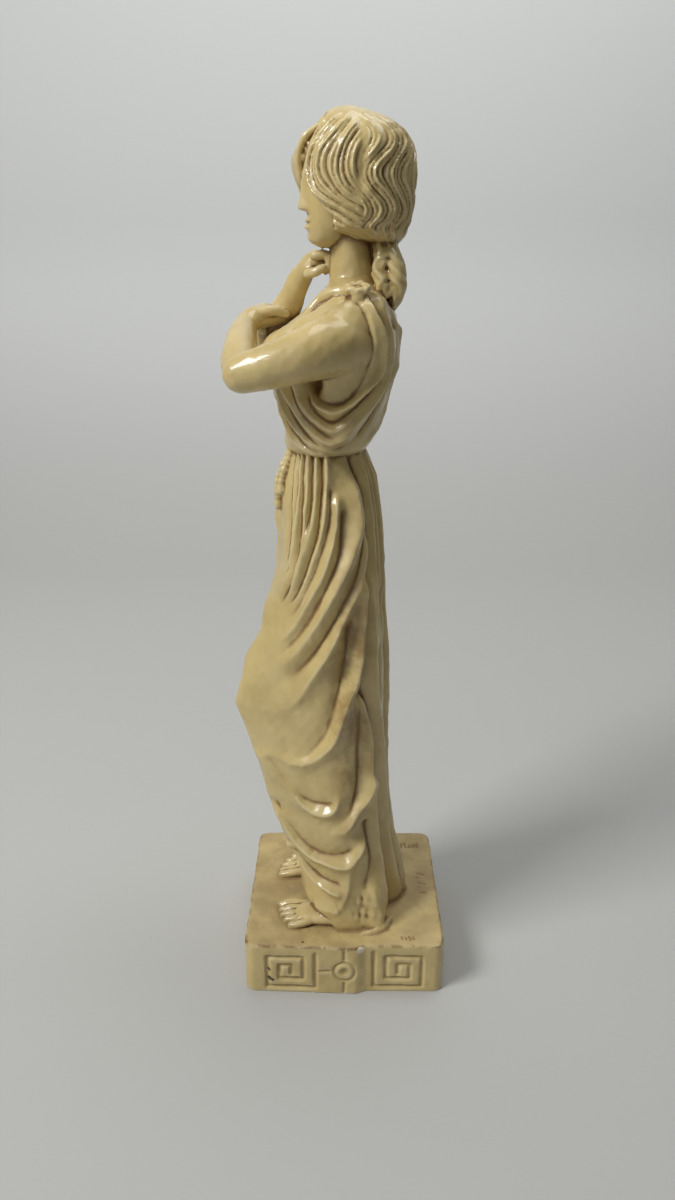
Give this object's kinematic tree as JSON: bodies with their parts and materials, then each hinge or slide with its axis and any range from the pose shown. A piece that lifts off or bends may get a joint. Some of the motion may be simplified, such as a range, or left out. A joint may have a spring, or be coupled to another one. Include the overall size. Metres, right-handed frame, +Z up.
{
  "type": "goddess figurine",
  "caption": "Standing draped goddess figurine in cream cast resin on a square plinth with a key pattern, one hand under the chin and the other arm crossed.",
  "frame": {"origin": "centre of the plinth's underside", "axes": "+Z up, the figure faces -Y, her left side is +X"},
  "size_m": [0.0864, 0.0871, 0.3456],
  "materials": {
    "cast_resin": "glossy cream cast resin with a brown wash in the recesses"
  },
  "bodies": {
    "root": {"goddess_statue": "cast_resin"}
  },
  "joints": []
}
